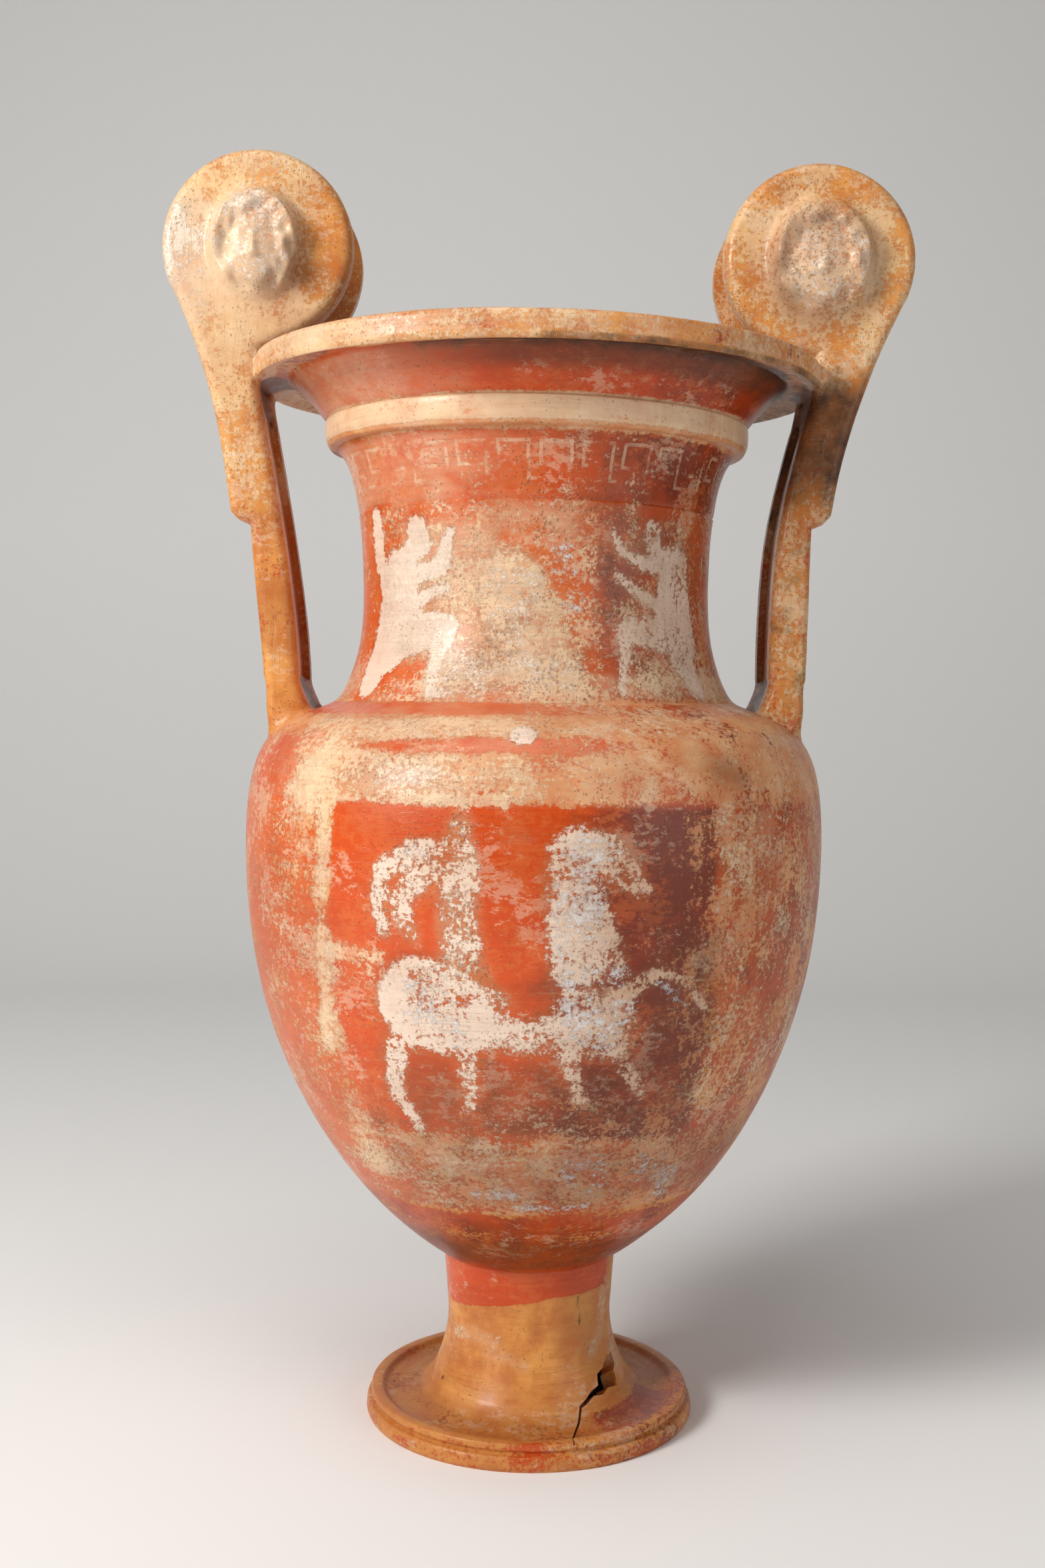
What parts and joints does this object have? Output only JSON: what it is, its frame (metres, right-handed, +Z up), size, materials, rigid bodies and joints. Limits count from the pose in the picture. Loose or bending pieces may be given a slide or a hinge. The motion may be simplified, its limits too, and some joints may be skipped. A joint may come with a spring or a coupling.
{
  "type": "volute krater",
  "caption": "Tall hollow terracotta vase with an ovoid body, high flared neck, footed stem and upright volute handles whose discs carry relief masks.",
  "frame": {"origin": "centre of the foot's underside, on the surface that the vase stands on", "axes": "+Z up along the vase's axis, the handles at +X and -X, the painted front towards -Y"},
  "size_m": [0.4655, 0.3684, 0.8],
  "materials": {
    "terracotta": "fired clay with worn red and cream slip, semi-matt"
  },
  "bodies": {
    "root": {"volute_krater": "terracotta"}
  },
  "joints": []
}
